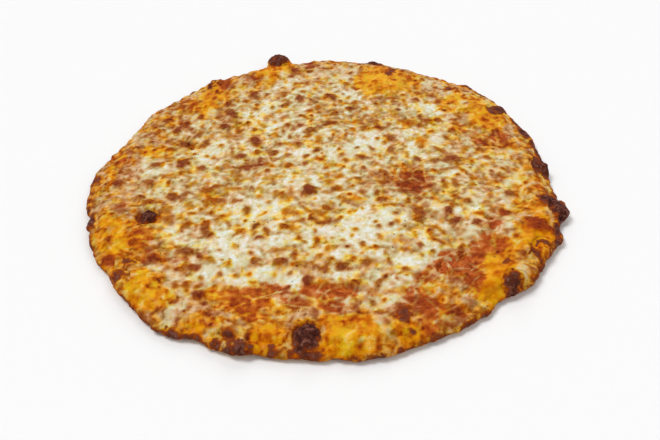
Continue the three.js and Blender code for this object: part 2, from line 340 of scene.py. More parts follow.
charredBlisters = [  # x, y, half width round the rim, half depth, darkness, share of its height lost
    (-32, 151, 10.5, 9, 0.75, 0.15), (-82, 120, 7, 6, 0.3, 0.6), (47, 143, 8, 5, 0.75, 0.5),
    (132, 62, 6, 6, 0.65, 0.5), (147, -7, 8, 5, 0.85, 0.2), (151, -50, 9, 6.5, 1, 0),
    (130, -85, 7, 5, 0.1, 0.5), (107, -116.5, 4.5, 6.5, 0.9, 0.4), (-9, -145, 7, 9, 1, 0.3),
    (-46, -148, 9, 4.5, 0.7, 0.5), (-118, -94, 8, 4.5, 0.35, 0.6), (-146, -45, 6, 4.5, 0.9, 0.1),
    (-110.5, -41.5, 7, 6.8, 1, 0.1),
]
blisterDark = 4  # columns of the blisters
blisterLost = 5
scorches = [  # degrees round the rim, distance out, half length, half depth, darkness, a turn if any
    (4, 152, 16, 3, 0.9), (1, 147, 5, 3, 0.8), (14, 151, 8, 4, 0.95), (19, 154, 8, 3.5, 0.9),
    (26, 150, 5, 6, 0.9, -25), (36, 157, 6, 3.5, 0.8), (40, 157, 5, 4, 0.75),
    (43.5, 140, 3.5, 3.5, 0.75), (65, 140, 4, 9, 0.6), (72.5, 152, 10, 5, 0.9, -10),
    (88, 158, 16, 2, 0.5), (94, 157, 3, 3, 0.7), (101.5, 160, 9, 7, 0.6), (123, 153, 6, 4, 0.85, 25),
    (126.5, 145, 2.5, 6, 0.8, 30), (132, 152, 4, 2, 0.7), (137, 150, 4, 3, 0.7),
    (158, 150, 6, 2, 0.65), (170, 151, 5, 2, 0.45), (179, 154, 4, 3, 0.8), (187, 156, 4, 2, 0.5),
    (191, 156, 4, 2.5, 0.8), (195.5, 154, 6, 3.5, 0.95), (203, 156, 9, 2, 0.75), (199.5, 118, 6, 6, 1),
    (211.5, 149, 4, 3, 0.45), (217.5, 151, 5, 4.5, 0.6, 40), (214.5, 142, 3, 2.5, 0.65),
    (224, 158, 8, 1.5, 0.6), (239, 159, 8, 3, 0.8), (243, 157, 6, 4, 0.9),
    (249.5, 149, 3, 4, 0.75, 30), (253.5, 157, 9, 3.5, 0.85), (248, 155, 2.5, 3, 0.7),
    (259, 153, 3, 4, 0.6), (265.5, 145, 6.5, 10, 1), (266, 155, 9, 4, 0.7), (265.5, 135, 6, 3.5, 0.3),
    (274, 160, 8, 2, 0.75), (281.5, 161, 5, 2.5, 0.85), (284, 159, 3, 4, 0.7),
    (292, 159, 12, 1.5, 0.7), (303, 157, 16, 2, 0.7), (287.8, 148, 2, 2, 0.8),
    (288, 137, 3, 4.5, 0.8, 30), (312, 158, 5, 4.5, 1), (313.5, 153, 3.5, 4.5, 0.7, -20),
    (318, 142, 4, 2.5, 0.6), (325, 152, 2, 6, 0.7, 30), (328.5, 153, 3, 3, 0.6),
    (331, 161, 5, 2.5, 0.85), (335, 158, 7, 3.5, 0.9), (340, 160, 8, 4, 1), (344, 151, 6, 7, 0.95),
    (348, 153, 6, 2, 0.6), (356, 151, 9, 4, 0.9, -10),
]
creases = [  # half width and darkness of each fold's dark line, a painted shade in its crease, and the places that it runs through
    (0.6, 0.75, [(126.5, -85), (128.5, -82), (132, -82), (134.5, -85.5), (134.5, -90), (132.8, -94.5)]),
    (0.6, 0.75, [(120.5, -91.5), (122.5, -88.8), (125.5, -90), (127.3, -94), (127, -98.5)]),
    (0.6, 0.65, [(-117.5, -80.5), (-116, -84), (-112.5, -83), (-109.5, -85)]),
    (0.6, 0.6, [(-116.5, -85), (-117.5, -89), (-120, -92), (-121.5, -96)]),
    (0.6, 0.5, [(-26, -150), (-21, -147), (-18.5, -143)]),
]
rimPatches = {  # as the scorches, with strength in place of darkness
    "gold": [
        (27, 136, 20, 14, 1), (37, 134, 12, 10, 0.8), (65, 122, 24, 21, 1), (105, 143, 14, 13, 1),
        (109, 125, 6, 8, 0.9), (128, 134, 12, 12, 1, 20), (136, 141, 6, 7, 0.3),
        (135, 121, 10, 8, 0.9), (166, 124, 6, 8, 0.8), (173, 143, 13, 7, 0.6), (203, 140, 20, 10, 0.8),
        (208, 131, 12, 6, 0.8), (225, 146, 18, 10, 1), (244, 147, 12, 8, 0.55), (257, 146, 8, 9, 0.7),
        (275, 141, 15, 15, 1), (287, 147, 7, 7, 0.9), (290, 151, 6, 5, 0.6), (309, 146, 11, 9, 1),
        (317, 137, 21, 10, 1, -10), (329, 146, 11, 11, 1), (339, 145, 8, 8, 0.6), (6, 124, 14, 8, 0.5),
        (351, 131, 14, 8, 0.5), (153, 142, 14, 6, 0.4), (342, 131, 10, 8, 0.7), (139, 112, 8, 7, 0.7),
        (52, 111, 12, 7, 0.6), (24, 108, 8, 8, 0.7), (36, 122, 10, 8, 0.9), (6, 133, 8, 5, 0.5),
        (19, 134, 7, 8, 0.9), (249, 124, 24, 13, 0.8), (207, 124, 9, 8, 0.8), (118, 127, 7, 7, 0.5),
    ],
    "red": [
        (13, 129, 8, 7, 0.8), (9, 134, 6, 4, 0.4), (17, 117, 12, 6, 0.7), (25, 112, 14, 4, 0.6),
        (31, 126, 4, 4, 0.6), (93, 148, 4, 10, 0.7), (98, 139, 4, 6, 0.5), (113, 136, 5, 7, 0.8),
        (122, 140, 5, 10, 0.8, 20), (139, 152, 9, 5, 0.7), (146, 122, 7, 3.5, 0.4),
        (157, 104, 10, 6, 0.25), (172, 137, 6, 4, 0.8), (181, 150, 7, 5, 0.3), (193, 132, 8, 5, 0.5),
        (211, 149, 6, 5, 0.8), (216, 130, 7, 5, 0.7), (221, 121, 14, 7, 0.35), (228, 117, 6, 4, 0.4),
        (250, 128, 16, 9, 0.7), (250, 117, 12, 7, 0.8), (243, 137, 8, 8, 0.5), (246, 144, 11, 6, 0.45),
        (106, 148, 8, 5, 0.45), (171, 140, 10, 9, 0.5), (207, 126, 12, 9, 0.6), (210, 137, 6, 6, 0.3),
        (262, 118, 9, 6, 0.8), (266, 110, 9, 5, 0.9), (272, 122, 9, 5, 0.8), (274, 112, 16, 6, 0.9),
        (298, 147, 7, 8, 0.85, -15), (294, 139, 8, 12, 0.9), (306, 142, 11, 4, 0.6, -30),
        (307, 115, 13, 6, 1), (314, 126, 11, 6, 0.9, -25), (322, 131, 8, 5, 0.8),
        (320, 118, 8, 5, 0.8), (332, 123, 12, 3, 0.7), (350, 143, 6, 3, 0.6), (352, 119, 5, 5, 0.5),
    ],
    "pale": [
        (48, 137, 13, 10, 0.7), (30, 146, 8, 5, 0.5), (41, 109, 20, 8, 0.9), (82, 122, 10, 14, 0.7),
        (80, 134, 9, 12, 0.8), (90, 129, 9, 7, 0.8), (98, 125, 8, 7, 0.7), (104, 118, 7, 8, 0.5, 20),
        (101, 130, 6, 9, 0.9), (134, 144, 9, 7, 0.6), (145, 110, 9, 5, 0.4), (144, 138, 8, 5, 0.5),
        (160, 143, 8, 5, 0.5), (172, 125, 10, 5, 0.8), (176, 118, 10, 4, 0.7), (186, 131, 9, 8, 0.8),
        (188, 108, 12, 5, 0.4), (208, 115, 9, 5, 0.4), (213, 106, 14, 5, 0.6), (220, 131, 7, 3.5, 0.8),
        (236, 148, 4, 14, 1, -10), (229, 130, 14, 3.5, 0.9, 30), (240, 110, 18, 6, 0.8),
        (258, 104, 12, 5, 1), (259, 117, 5, 9, 0.5), (282, 134, 3, 15, 0.5, -10),
        # the one at 317.5 degrees is a painted highlight along the bulge of a fold
        (274.3, 149, 3, 7, 0.7, 10), (278, 150, 5, 4, 0.7), (317.5, 154, 8, 3, 0.75, -36),
        (291, 113, 11, 5, 0.6), (286, 125, 5, 8, 0.8, -30), (303, 121, 3, 7, 0.4),
        (309, 128, 3.5, 8, 0.7), (300, 103, 20, 7, 0.8), (327, 109, 12, 5, 0.6),
        (331, 127.5, 10, 2.2, 1), (343, 124, 9, 5, 0.4), (353, 132, 10, 9, 0.8),
        (340, 105, 14, 6, 0.5), (3, 124, 9, 7, 0.7),
    ],
}
patches = {  # x, y, half length, half width, strength, a turn if any
    "pale": [
        (-42, -38, 18, 13, 1), (27, -60, 20, 15, 1, 30), (-57, -72, 14, 16, 0.9, 40),
        (-46, -89, 12, 8, 0.8), (-31, -96, 10, 6, 0.9), (30, 22, 17, 10, 0.9, 50),
        (-76, 25, 9, 16, 0.9, -35), (-45, 74, 16, 8, 0.9, 45), (12, 99, 8, 7, 0.6),
        (-14, 82, 7, 7, 0.7), (-97, 70, 7, 6, 0.6), (85, 42, 9, 7, 0.6), (22, 92, 12, 8, 0.9),
        (78, 68, 10, 9, 0.7), (82, 26, 5, 13, 0.8, -15), (66, 18, 5, 9, 0.8),
        (-108, 8, 11, 5, 0.5, -20), (103, -36, 7, 5, 0.6), (-5, 2, 9, 5, 0.4, 10),
        (-14, 22, 6, 7, 0.7), (-35, 55, 4, 9, 0.8, -15), (63, -73, 4, 9, 0.8), (88, -13, 7, 5, 0.8),
        (52, -50, 4, 7, 0.7), (-28, -69, 8, 6, 0.8), (-28, -56, 7, 5, 0.6), (5, -61, 9, 4, 0.8),
        (34, -85, 8, 5, 0.7), (12, -102, 8, 4, 0.7), (66, -88, 5, 7, 0.8, -20), (-17, -13, 7, 7, 0.9),
        (75, -45, 4, 7, 0.6), (14, 15, 9, 7, 0.7), (-68, -99, 9, 7, 0.7), (16, -83, 10, 6, 0.7),
        (-12, -69, 9, 6, 0.7), (-25, -84, 9, 5, 0.5), (3, -31, 6, 4, 0.6), (-42, -82, 6, 5, 0.6),
    ],
    "tan": [
        (-97, 36, 14, 7, 0.4), (-115, 60, 28, 16, 0.8, -40), (-68, 72, 10, 18, 1, 15),
        (-48, 6, 14, 8, 1), (-72, -27, 10, 14, 0.8), (-13, 70, 7, 7, 0.7), (55, -17, 22, 16, 1, -10),
        (-1, -49, 15, 7, 0.8), (14, 65, 18, 14, 1), (38, 58, 14, 12, 0.9), (84, 52, 16, 7, 0.9),
        (91, 6, 9, 10, 0.8), (62, -50, 6, 16, 0.8), (90, -38, 12, 6, 0.7, -20),
        (-132, -5, 12, 12, 0.6), (5, 82, 12, 10, 0.7), (-85, -76, 15, 5, 0.9, -12),
        (-62, 50, 12, 10, 0.6), (-29, 13, 9, 6, 0.7), (58, -18, 18, 14, 1), (-83, -70, 9, 6, 0.9),
        (57, -42, 12, 9, 1), (-56, -13, 10, 8, 0.7), (112, -28, 8, 7, 0.7), (2, 112, 11, 9, 0.9),
        (-84, 56, 9, 7, 0.6), (-61, 85, 11, 9, 0.9), (-126, 0, 9, 8, 0.7), (72, 84, 9, 6, 0.5),
    ],
    "red": [
        (76, -96, 14, 9, 1, 35), (96, -80, 14, 7, 0.9, 35), (-38, -111, 24, 8, 0.7),
        (60, -16, 15, 12, 0.8, -20), (85, -108, 6, 11, 0.9, -15), (51, -122, 9, 12, 0.8),
        (20, -114, 15, 6, 0.55), (-88, -79, 15, 5, 0.5, -15), (-48, 6, 8, 3, 0.5),
        (131.5, -66.5, 9, 6, 0.9), (107, -63, 4, 6, 0.9, -20), (113, -53, 5, 4, 0.8),
        (-82, 98, 6, 9, 0.7), (57, -140, 10, 7, 0.6), (-102, 90, 10, 14, 0.5, 20),
        (64, -103, 14, 6, 0.7, 20), (29, 104, 8, 2.2, 0.6, 100), (37, 91, 6, 2, 0.5, -45),
        (52, 84, 9, 2, 0.6), (59, 124, 4, 5, 0.6),
    ],
    "gold": [
        (1, -77, 9, 12, 0.35), (-26, -79, 8, 4, 0.4), (66, 53, 9, 6, 0.4), (74, 27, 5, 6, 0.5),
    ],
}
spots = [  # browned spots, as the patches, with darkness in place of strength
    (-97, -22, 4, 3, 0.85, -40), (-73, -19, 4.5, 3.5, 0.7, 45), (-70, -15, 3, 2, 0.75, 60),
    (-69, -29.5, 7, 2, 0.7), (-74, -32, 2, 4, 0.6), (-84, -33, 2.5, 3.5, 0.5), (-57, -17.5, 6, 2, 0.6),
    (-55, -5, 4, 2.5, 0.6), (-47.5, -39, 2.5, 5, 0.75), (-54, -30.5, 4.5, 2, 0.65, 20),
    (-40, -19, 2.2, 2.2, 0.5), (-36, -8, 2.5, 3, 0.4), (-25, -27, 5, 3.5, 0.6),
    (-29, -24, 3, 2.5, 0.5), (-19, -25, 2, 5, 0.5), (-7.5, -23, 5, 5.5, 1), (-8, -11, 2, 2.5, 0.35),
    (-22, -42, 3, 3.5, 0.5), (-17, -45, 2.5, 2, 0.5), (-22.5, -56.5, 4.5, 2.3, 0.75),
    (-7, -50, 1.5, 3.5, 0.85), (-13, -51.5, 3, 1.8, 0.6, 20), (-3, -46, 4, 3, 0.5),
    (2, -55, 5, 2, 0.8), (3, -42, 2.5, 3.5, 0.8, 20), (-82, -41, 2.5, 2, 0.6), (-96, -46, 4, 4, 0.65),
    (-99, -38, 4, 5, 0.5), (-64, -47, 3.5, 1.8, 0.65, 45), (-73, -54, 2.5, 5, 0.75),
    (-69.5, -62, 2.5, 4.5, 0.8, 30), (-84.5, -54, 2, 6, 0.65, -30), (-77.5, -53.5, 2, 2, 0.5),
    (-50.5, -59, 3, 2.5, 0.55), (-41.5, -56, 2, 4, 0.8, -20), (-33.5, -60, 1.8, 5, 0.75, 25),
    (-37, -66, 3, 2, 0.75), (-41, -63, 1.4, 3.5, 0.65), (-53, -62, 4, 1.4, 0.55, 40),
    (-14, -68, 1.4, 3.5, 0.75, 15), (-11, -72, 2.5, 1.4, 0.65, -20), (-3, -72, 2.5, 3.5, 0.7),
    (-26, -79, 5.5, 2.6, 0.5), (-52, -73, 2, 2, 0.35), (-16, -84, 3, 3.2, 0.75),
    (-15, -91, 4.5, 2.3, 0.65), (-25, -89, 4.5, 4, 0.75), (-39.5, -87, 3.2, 3.8, 0.7, 20),
    (-55, -87, 2, 2.8, 0.45), (-67, -85, 3, 3.5, 0.5), (-82, -75, 6, 3, 0.8, -20),
    (-75, -79, 5, 1.8, 0.75, -35), (-76.5, -90, 2.2, 3.2, 0.85, 30), (-101, -81, 4, 4, 0.85),
    (-59.5, -96.5, 1.8, 3, 0.6), (-84, -103.5, 1.8, 3, 0.7), (-78, -103, 2.2, 3, 0.6),
    (-72, -105, 2, 2, 0.6), (-70, -112, 3.8, 4, 0.9), (-41, -103, 2.5, 1.5, 0.5),
    (-9, -105, 3.2, 3, 1), (2, -97, 2.2, 3, 0.75, -20), (-50, -97, 2.5, 2, 0.45),
    (-36, -109, 3, 2, 0.65), (5, -15, 3.2, 3, 0.5), (10.5, -21.5, 3.2, 2.8, 0.75),
    (26, -12.5, 2.5, 2, 0.7), (22.5, -20, 2, 1.8, 0.5), (19, -29, 1.8, 2.2, 0.6, 40),
    (14.5, -33, 2, 3, 0.55), (28, -27.5, 2.2, 2.2, 0.65), (24, -34, 3.2, 3, 0.35),
    (43, -7, 4, 2.5, 0.7), (43, -17.5, 4.5, 2.2, 0.8), (53, -19, 5, 4, 0.75),
    (66, -14, 2.5, 2.5, 0.85), (65, -24, 2.5, 2.5, 0.85), (71, -22, 2.5, 2, 0.8), (67, -7, 2, 2, 0.8),
    (54, -28, 4, 3, 0.75), (63, -35, 3, 1.5, 0.75), (35, -9, 2, 2.5, 0.6), (39, -36, 4, 3, 0.8),
    (40, -41, 3.5, 2, 0.5), (33, -44.5, 2, 2, 0.4), (56, -36.5, 1.5, 2.5, 0.7), (61, -48, 2.6, 5, 0.8),
    (62, -55, 2.5, 3, 0.75), (46, -48, 2.8, 1.4, 0.6, -20), (43.5, -58, 2.2, 1.8, 0.8),
    (47, -57, 2, 2, 0.45), (35.5, -60.5, 2.3, 2.3, 0.7), (35, -69.5, 2.3, 2.3, 0.5),
    (21, -62, 2, 1.5, 0.4), (12.5, -71.5, 1.6, 1.8, 0.5), (5, -77, 2.6, 2.4, 0.45),
    (0, -84, 2.5, 2, 0.5), (12, -95, 3.2, 2.8, 0.9), (26, -91, 3.5, 3.5, 0.7, -30),
    (36, -104, 1.8, 2.2, 0.75), (32, -107, 3.5, 1.6, 0.65, 30), (19, -107, 2.5, 2.5, 0.8),
    (40, -91, 1.5, 3, 0.7), (48.5, -75, 2.8, 2.2, 0.5, -30), (49, -82, 2.2, 1.3, 0.6),
    (58.5, -79, 1.8, 3, 0.8), (38, -83, 1.4, 2.5, 0.5), (48, -99, 3, 2, 0.7, -20),
    (68, -66, 1.6, 4, 0.65, -25), (73, -66, 1.5, 5, 0.6, 35), (71, -77, 4, 1.5, 0.7, -45),
    (80, -49, 3, 3.5, 0.9), (83, -44, 1.8, 2.5, 0.6), (84, -58, 3.2, 3.2, 0.85),
    (96, -60.5, 3.2, 2.6, 0.85), (94.5, -39.5, 2.6, 2.2, 0.75), (88, -36, 4, 2, 0.7, -30),
    (89, -23, 2, 4, 0.65), (84, -7.5, 3, 2, 0.5), (101, -16, 2.5, 2.5, 0.6), (99, -52, 4, 1.8, 0.6),
    (82, -84, 2, 5, 0.7, -20), (121, -35, 3.8, 3, 0.8), (42, -130, 4.5, 4, 0.8),
    (-50, 100, 3.5, 4.5, 0.85), (-27, 100, 2.5, 3.5, 0.7), (-15, 91, 3.5, 5, 0.85),
    (-25, 82, 2.5, 3, 0.75), (-35, 80, 2, 2.5, 0.6), (-48, 78, 2.5, 3, 0.65),
    (-69, 86, 3.2, 3.2, 0.85), (-65, 73, 3, 6, 0.85, 25), (-76, 69, 2.2, 2.5, 0.7),
    (-69, 57, 3.5, 2.5, 0.95), (-89, 70, 2.2, 3.5, 0.8), (-99.5, 61, 3, 4.5, 0.85),
    (-104, 54, 3, 3, 0.9), (-86, 48, 2.2, 2.8, 0.75), (-95, 35, 5, 4, 0.8, -30),
    (-81.5, 35.5, 2.8, 5, 0.75), (-65, 45, 2.8, 4.5, 0.55), (-57, 50, 3.5, 2, 0.6),
    (-47.5, 51, 1.8, 2.2, 0.75), (-45.5, 35.5, 3, 6, 1), (-44, 24, 2.2, 3.2, 0.75),
    (-31, 22, 2.6, 3, 0.8), (-28, 31.5, 3, 2.2, 0.65), (-22, 18, 2.5, 2.5, 0.65),
    (-21, 6, 3.2, 3.5, 0.75, 20), (-14.5, 31, 3.2, 3, 0.75), (-2, 22.5, 2.5, 2.5, 0.85),
    (0, 35, 2.2, 4, 0.5), (-5, 46, 3.5, 4, 0.75), (-13.5, 54, 2.2, 2.8, 0.75), (-22.5, 55, 2, 3, 0.8),
    (-25, 47, 1.5, 2, 0.8), (-12.5, 66.5, 2.2, 2.5, 0.8), (-6, 74, 3, 2, 0.75),
    (-32, 44, 2.5, 2.5, 0.4), (-55, 18.5, 3.5, 3.2, 0.8), (-74, 19, 1.8, 2.2, 0.6),
    (-95, 12, 4, 4, 0.95), (-94.5, 3, 2.5, 2, 0.7), (-82, 6, 3.5, 3.8, 0.75), (-49, 5, 6, 3, 0.8, -10),
    (-42, 12, 2, 4, 0.85), (-37, 7, 3, 2.5, 0.65), (1, 10.5, 2.5, 2.2, 0.75), (9, 91.5, 4.2, 4.5, 0.9),
    (18, 84, 2, 2, 0.7), (29, 82, 2.2, 3, 0.7), (24.5, 74, 3, 3, 0.85), (13, 69, 2, 2.5, 0.7),
    (10, 54.5, 5, 3, 0.95), (43.5, 77.5, 2.2, 2.5, 0.75), (75, 80.5, 3.2, 3, 0.95),
    (61, 69.5, 2, 2.2, 0.75), (56.5, 66, 3, 4, 0.45), (33.5, 46, 2, 2.5, 0.75),
    (44, 46, 3.5, 2.5, 0.8), (66, 52, 6, 4, 0.5), (81, 53, 4, 2.2, 0.75), (88, 53.5, 2.8, 2.4, 0.85),
    (74.5, 48, 2.5, 2.5, 0.7, 30), (92, 77.5, 2.5, 4, 0.7, -20), (95, 66, 1.5, 2, 1),
    (97, 38, 2.5, 4, 0.75), (52, 32.5, 3, 3, 0.75), (50, 20, 3, 5, 0.7, -20),
    (36, 22, 1.6, 4.5, 0.7, 30), (29, 11.5, 5, 3, 0.75, 10), (18, 8, 1.8, 3, 0.65, 20),
    (10, 4, 4, 2, 0.45), (61, 12, 1.8, 4, 0.5), (67, 6.5, 2.2, 3.5, 0.85, 20), (77, 4, 2.2, 2.2, 0.75),
    (84, 16, 2.5, 6, 0.6, 35), (74, 27, 4, 4.5, 0.35, 20), (91, 5, 5, 3.5, 0.8, -30),
    (-18, 133, 4.3, 4, 0.7), (131.5, -66.5, 8, 6, 0.55), (-136, -7, 4, 4, 0.8),
    (-114, -8, 5.5, 3.5, 0.7, -20), (-119, -22, 3.2, 2.6, 0.75), (-113, -28, 5, 3, 0.75),
    (-113, 67, 4, 3, 0.8), (-113, 13, 4, 3, 0.75), (23, 110, 3, 4, 0.6),
]
openings = [  # as the patches, where the cheese has drawn apart over the sauce
    (78, -95, 12, 6, 1, 40), (14, -112, 9, 3, 1), (-91, 35, 7, 4, 1, -30),
]


# Places on the rim turned into places by x and y
def onRim(places):
    found = []
    for degrees, far, along, deep, strength, *turn in places:
        x, y = around(math.radians(degrees), far)
        found.append((x, y, along, deep, strength, degrees + 90 - sum(turn)))
    return found


# For each place: its window, the distances from it in half widths, its strength and its half width
def stamps(places, warp):
    for x, y, long, short, strength, *turn in places:
        part, dx, dy = window(x, y, 2 * max(long, short) + 3)
        along, across = turned(dx + warp * warpX[part], dy + warp * warpY[part], sum(turn))
        yield part, np.hypot(along / long, across / short), strength, min(long, short)


# The strongest of some places at each point, each fading from its inner to its outer distance
def stamped(places, warp=0.6, outer=1.5, inner=0.5, uneven=0.0):
    total = np.zeros_like(gridX)
    for part, away, strength, _ in stamps(places, warp):
        raiseTo(total, part, strength * smooth(outer, inner, away + uneven * ragged[part]))
    return total


# A line of thin places along each fold
def alongCreases():
    for half, dark, line in creases:
        for (x, y), (nextX, nextY) in zip(line, line[1:]):
            length = math.hypot(nextX - x, nextY - y)
            turn = math.degrees(math.atan2(nextY - y, nextX - x))
            yield (x + nextX) / 2, (y + nextY) / 2, length / 2 + half, half, dark, turn


creaseField = stamped(alongCreases(), warp=0.1)


# Crust

crust = {
    "voxel": 1.8,
    "rimFrom": 0.86,  # of the outline's reach, where the mesh is divided again
    "rimAbove": 0.3,  # height from which the rim is divided
    "blistersAbove": 5,  # and the charred blisters
    "charAbove": 1,  # height from which the blisters are smoothed
    "evenRounds": 3,  # of smoothing
    "fineRounds": 2,
    "blisterRounds": 5,
    "bubblesFrom": (0.86, 0.93),  # of the outline's reach
    "ripplesFrom": (0.82, 0.93),
    "ripples": [(11, 0.6), (4.5, 0.5), (2, 0.22)],  # size and height
    "wrinkles": [(6, 0.9), (2.6, 0.4)],  # on the charred blisters
    "crease": 0.7,  # depth
    "lowFrom": 7.5,  # height from which some blisters are lowered
    "nudges": [  # x, y, reach, and how far the dough there is drawn along x and y
        (139, -73, 13, 5, -2.5), (113, -107, 11, 2.5, -3), (150, -54, 12, -1.5, -3), (151, -8, 11, 2.8, 0),
        (-152, -19, 14, -2.4, 0), (97, -122, 12, -1, 2), (50, 146, 9, 0, 1.5), (-153, 2, 16, -1.5, 0),
    ],
    "grain": 0.35,  # height of the finest bumps
    "bubbles": 110,
    "bubbleSeed": 3,
    "bubbleHalf": (3.5, 8),
    "bubbleDeep": (0.8, 1.3),  # of the half width
    "bubbleInset": (1.5, 11),
    "bubbleHeight": (0.5, 1.4),
    "pleats": [  # large folds, placed as the scorches, with height in place of darkness
        (319.5, 154, 5, 11, 3, -25), (327, 152, 5.5, 8, 2.6), (334, 150, 7, 7, 1.4), (217.5, 150, 6, 6, 1.6),
        (124, 150, 6, 9, 1.6, 15), (105, 148, 8, 9, 1.2), (245, 150, 7, 7, 1.2), (275, 150, 7, 9, 1.4),
        (225, 148, 9, 8, 1.4), (297, 151, 6, 8, 1.2), (39, 150, 8, 8, 1.2), (165, 143, 8, 7, 1),
    ],
}


# Low bubbles and folds along the rim
def bubbleField():
    rng = np.random.default_rng(crust["bubbleSeed"])
    bubbles = list(crust["pleats"])
    for number in range(crust["bubbles"]):
        degrees = (number + rng.uniform(-0.4, 0.4)) / crust["bubbles"] * 360
        half = rng.uniform(*crust["bubbleHalf"])
        far = reachAt(math.radians(degrees)) - rng.uniform(*crust["bubbleInset"])
        deep = half * rng.uniform(*crust["bubbleDeep"])
        bubbles.append((degrees, far, half, deep, rng.uniform(*crust["bubbleHeight"])))
    return stamped(onRim(bubbles), warp=0.25, outer=1.25, inner=0.15)


# How far a place lies inside the charred blisters, 1 at their middles, weighted by one of their columns
def blisterOf(x, y, column=None):
    inside = np.zeros_like(np.asarray(x, dtype=float))
    for blister in charredBlisters:
        atX, atY, across, deep = blister[:4]
        out = math.degrees(math.atan2(atY - doughMiddle[1], atX - doughMiddle[0]))
        along, side = turned(x - atX, y - atY, out)
        share = smooth(1.4, 0.75, np.hypot(along / deep, side / across))
        inside = np.maximum(inside, share if column is None else share * blister[column])
    return inside


def isFine(x, y, z):
    rim = (z > crust["rimAbove"]) & (shareOf(x, y) > crust["rimFrom"])
    return rim | (z > crust["blistersAbove"]) & (blisterOf(x, y) > 0)


def isCharred(x, y, z):
    return (z > crust["charAbove"]) & (blisterOf(x, y) > 0)


def vertsWhere(bm, test):
    x, y, z = np.array([v.co / mm for v in bm.verts]).T
    return [vert for vert, chosen in zip(bm.verts, test(x, y, z)) if chosen]


def smoothed(bm, verts, rounds):
    for _ in range(rounds):
        bmesh.ops.smooth_vert(bm, verts=verts, factor=0.5, use_axis_x=True, use_axis_y=True, use_axis_z=True)


# The frame's crust in even faces, finer along the rim and on the blisters
def makeCrust():
    bm = bmeshFrom(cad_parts["crust"].data)
    bmesh.ops.remove_doubles(bm, verts=bm.verts, dist=1e-6)
    rough = objectFrom(bm, "rough_dough")
    even = rough.modifiers.new("even", "REMESH")
    even.mode = "VOXEL"
    even.voxel_size = crust["voxel"] * mm
    mesh = bpy.data.meshes.new_from_object(rough.evaluated_get(bpy.context.evaluated_depsgraph_get()))
    bpy.data.objects.remove(rough)
    bm = bmeshFrom(mesh)
    bpy.data.meshes.remove(mesh)
    smoothed(bm, bm.verts, crust["evenRounds"])
    fine = set(vertsWhere(bm, isFine))
    edges = [e for e in bm.edges if e.verts[0] in fine and e.verts[1] in fine]
    bmesh.ops.subdivide_edges(bm, edges=edges, cuts=1, use_grid_fill=True)
    smoothed(bm, bm.verts, crust["fineRounds"])
    smoothed(bm, vertsWhere(bm, isCharred), crust["blisterRounds"])
    made = objectFrom(bm, "crust_dough")
    shapeCrust(made)
    return made


def noiseAt(points, size):
    return np.array([noise.noise(Vector(p) / size) for p in points])


# Draws the edge to its outline, then raises bubbles, ripples and wrinkles along the surface's own direction
def shapeCrust(piece):
    co = pointsOf(piece)
    x, y, z = co.T.copy()
    co[:, 2] -= blisterOf(x, y, blisterLost) * np.maximum(z - crust["lowFrom"], 0)
    for atX, atY, reach, drawnX, drawnY in crust["nudges"]:
        part = smooth(1, 0, np.hypot(x - atX, y - atY) / reach)
        co[:, 0] += drawnX * part
        co[:, 1] += drawnY * part
    placePoints(piece, co)
    x, y, z = co.T
    share = shareOf(x, y)
    blister = blisterOf(x, y) * smooth(1, 4, z)
    above = smooth(0.4, 1.6, z)
    push = (sample(bubbleField(), x, y) - 0.5) * above * (1 - blister)
    push *= smooth(*crust["bubblesFrom"], share)
    for size, height in crust["ripples"]:
        ripple = height * noiseAt(co, size) * above
        push += ripple * smooth(*crust["ripplesFrom"], share) * (1 + 0.6 * smooth(0.96, 1, share))
    push -= crust["crease"] * sample(creaseField, x, y) * above
    for size, height in crust["wrinkles"]:
        push += height * (0.4 - np.abs(noiseAt(co + 50, size)) * 2) * blister
    placePoints(piece, co + normalsOf(piece) * push[:, None])


bakedParts = ("toast", "oil", "red", "char", "blush")  # each a field, and an attribute that materials read


# The rim's browning, darker on its lip and outer wall, with its charred blisters; the foot of the wall is
# darker still, partly char and partly painted shade where it meets the floor
def paintCrust(piece, field):
    co = pointsOf(piece)
    x, y, z = co.T
    at = {name: sample(field[name], x, y) for name in (*bakedParts, "pale")}
    facing = normalsOf(piece)[:, 2]
    lip = np.maximum(smooth(0.97, 1.0, shareOf(x, y)), smooth(0.8, 0.2, facing))
    lip = lip * (1 - 0.8 * at["pale"] * smooth(2, 4, z))
    lipToast = 0.7 + 0.5 * noiseAt(co, 9) + 0.25 * noiseAt(co, 3.5)
    # Char on the lip, darker towards its foot: that darkening near the floor is partly painted shade
    lipCharAndShade = 0.36 + 0.8 * noiseAt(co + 20, 12) + 0.45 * smooth(2.5, 0.6, z)
    blister = blisterOf(x, y, blisterDark) * smooth(6, 9, z + 2 * noiseAt(co + 60, 5))
    painted = {
        "toast": lerp(at["toast"], np.maximum(at["toast"], lipToast), lip),
        "oil": np.maximum(at["oil"], 0.7 * lip),
        "red": at["red"] * (1 - lip),
        "char": np.maximum(np.maximum(at["char"], blister), lip * lipCharAndShade),
        "blush": at["blush"],
        "under": smooth(-0.3, -0.75, facing),
    }
    for name, values in painted.items():
        paint(piece, name, values)


# Cheese

